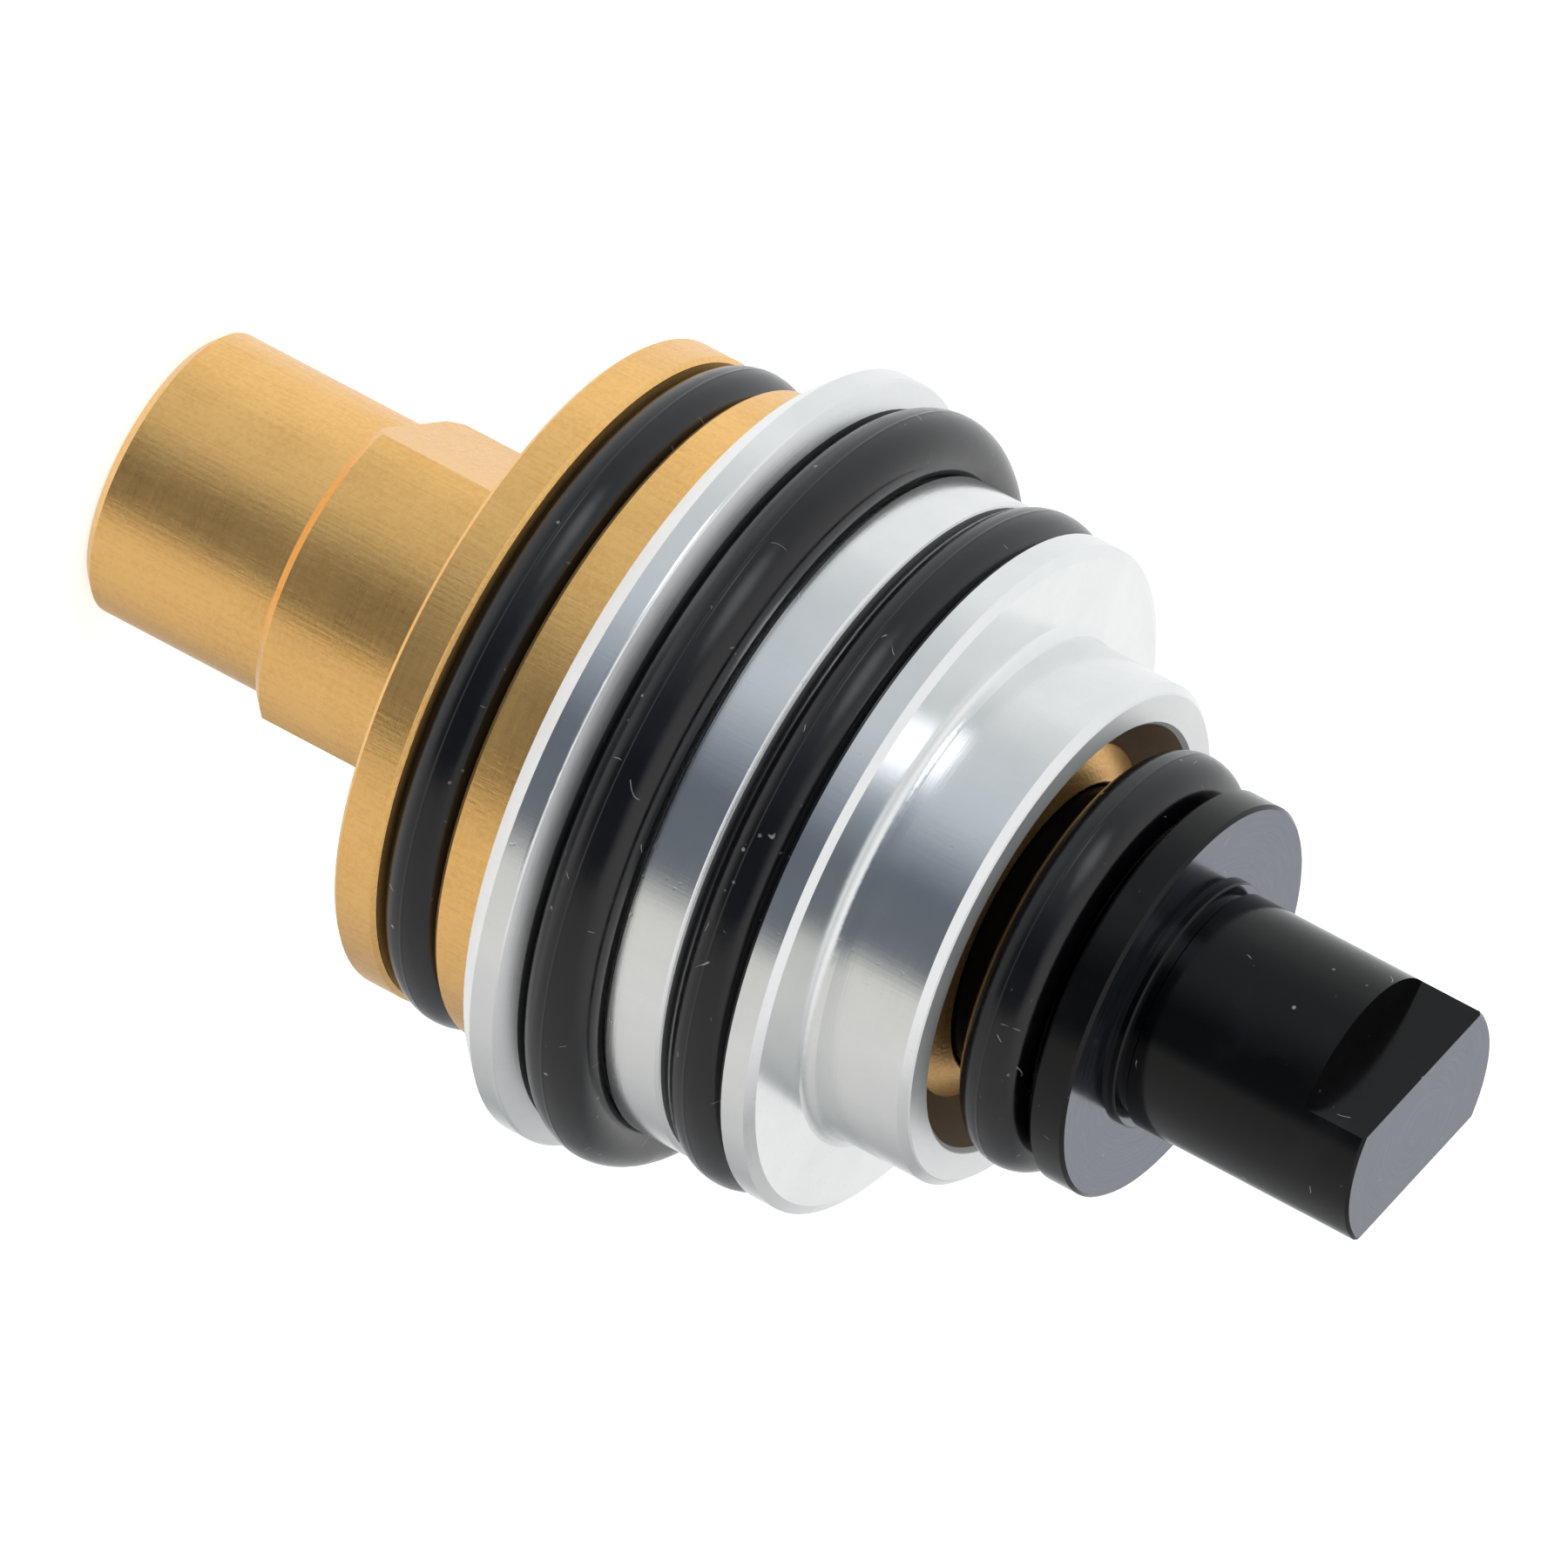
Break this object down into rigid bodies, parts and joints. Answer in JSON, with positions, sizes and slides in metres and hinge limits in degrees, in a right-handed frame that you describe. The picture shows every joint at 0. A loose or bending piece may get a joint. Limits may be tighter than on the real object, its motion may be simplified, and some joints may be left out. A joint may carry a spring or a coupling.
{
  "type": "diverter valve cartridge",
  "caption": "Slim valve cartridge: a turned brass body, a grooved aluminium sleeve with seals, and a sprung black stem that pushes in and turns.",
  "frame": {"origin": "centre of the tail's end face", "axes": "+Z along the valve's axis, from the tail to the tip of the stem; X square to the body's two wrench flats"},
  "size_m": [0.0272, 0.0272, 0.048],
  "materials": {
    "brass": "satin turned",
    "sleeve_aluminium": "finely turned",
    "black_anodised": "glossy black anodised",
    "seal_rubber": "satin moulded",
    "spring_steel": "bright",
    "guide_plastic": "matt"
  },
  "bodies": {
    "valve": {"valve_body": "brass", "body_o_ring": "seal_rubber", "outer_sleeve": "sleeve_aluminium", "flange_o_ring": "seal_rubber", "sleeve_o_ring": "seal_rubber", "sleeve_inner_o_ring": "seal_rubber", "sleeve_retaining_ring": "spring_steel", "spring_seat_washer": "spring_steel", "return_spring": "spring_steel", "rod_bush": "guide_plastic", "rod_o_ring": "seal_rubber", "rod_seal_retainer": "brass", "tail_plug": "brass", "tail_plug_o_ring": "seal_rubber"},
    "carriage": {"spring_thrust_washer": "spring_steel"},
    "stem": {"stem": "black_anodised", "head_o_ring": "seal_rubber", "rear_piston_o_ring": "seal_rubber", "front_piston_o_ring": "seal_rubber", "piston_guide_ring": "guide_plastic", "stop_washer": "spring_steel", "stop_clip": "spring_steel"}
  },
  "joints": [
    {"name": "stem_slide", "type": "slide", "parent": "valve", "child": "carriage", "axis": [0, 0, 1], "range_m": [-0.0015, 0], "stiffness_N_per_m": 700, "springref_m": 0.004, "deforming": ["return_spring"]},
    {"name": "stem_turn", "type": "hinge", "parent": "carriage", "child": "stem", "pos_m": [0, 0, 0.03], "axis": [0, 0, 1], "continuous": true}
  ]
}
